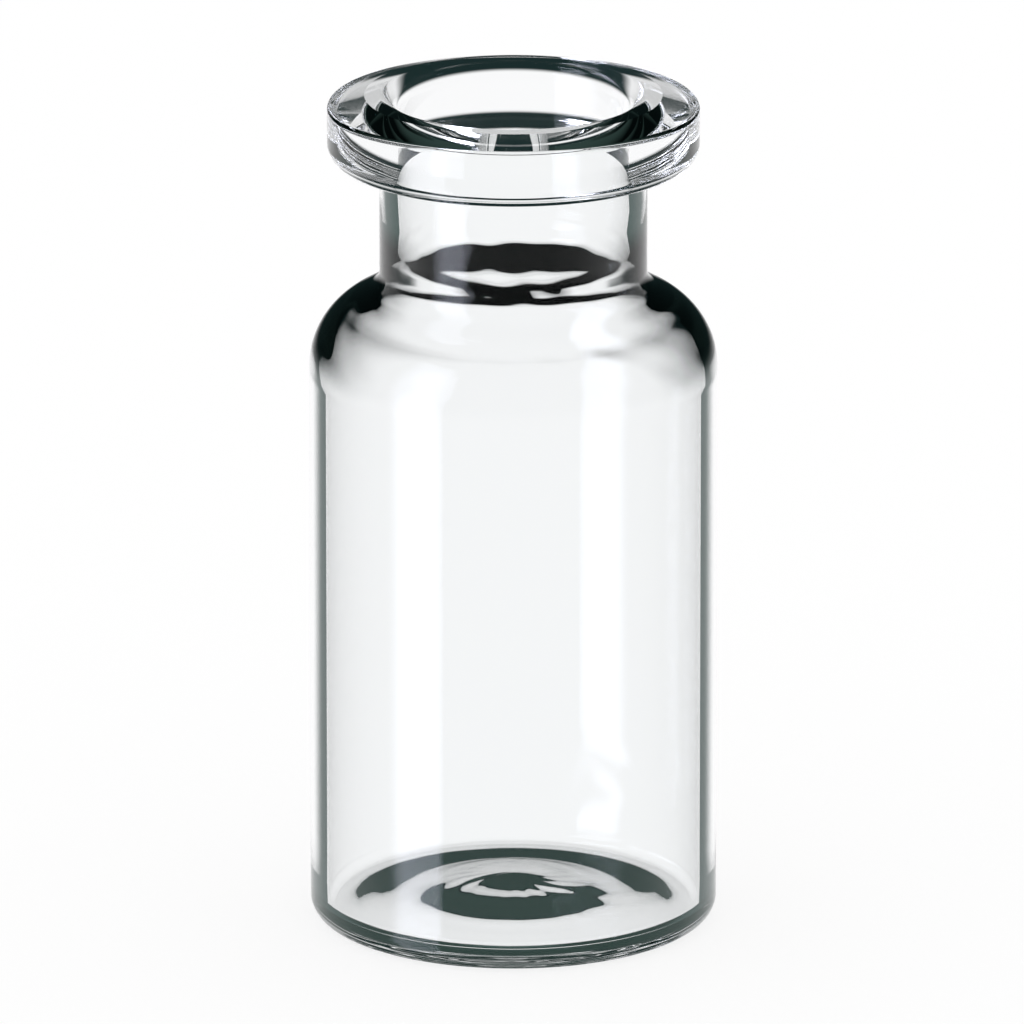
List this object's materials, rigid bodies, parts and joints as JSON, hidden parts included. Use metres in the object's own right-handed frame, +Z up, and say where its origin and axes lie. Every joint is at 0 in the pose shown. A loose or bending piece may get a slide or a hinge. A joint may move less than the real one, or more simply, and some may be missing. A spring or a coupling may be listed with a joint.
{
  "type": "glass sample vial",
  "caption": "Clear glass laboratory vial with a straight body, rounded shoulder, short neck and flat beaded rim for a crimp cap, open at the mouth.",
  "frame": {"origin": "centre of the base, on the plane of the standing ring", "axes": "+Z up along the vial's axis, towards the mouth; X and Y are alike, because the vial is a body of revolution"},
  "size_m": [0.022, 0.022, 0.046],
  "materials": {
    "clear_glass": "smooth clear glass, faint grey-green tint in thick sections"
  },
  "bodies": {
    "root": {"vial": "clear_glass"}
  },
  "joints": []
}
